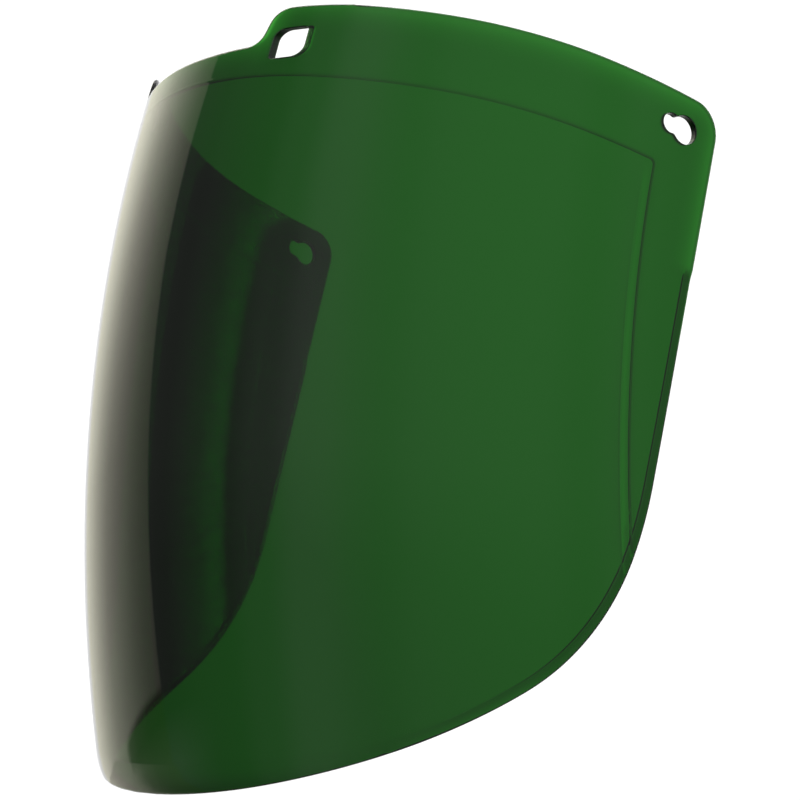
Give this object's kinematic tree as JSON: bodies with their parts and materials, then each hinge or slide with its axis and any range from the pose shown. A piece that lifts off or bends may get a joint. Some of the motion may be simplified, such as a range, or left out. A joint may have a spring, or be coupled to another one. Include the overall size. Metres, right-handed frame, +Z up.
{
  "type": "face shield window",
  "caption": "Wrap-around dual-curve face shield window with raised top flaps, latch holes and side keyholes for a headgear, moulded in green shaded plastic.",
  "frame": {"origin": "midway between the centres of the two side stud holes, on the mid-plane of the window", "axes": "+X to one side of the head, -Y out of the front of the window, +Z up; the straight line from chin edge to brow edge on the mid-plane is parallel to Z"},
  "size_m": [0.2228, 0.1472, 0.2433],
  "materials": {
    "shaded_polycarbonate": "clear see-through green shaded polycarbonate, high gloss on both faces"
  },
  "bodies": {
    "root": {"window": "shaded_polycarbonate"}
  },
  "joints": []
}
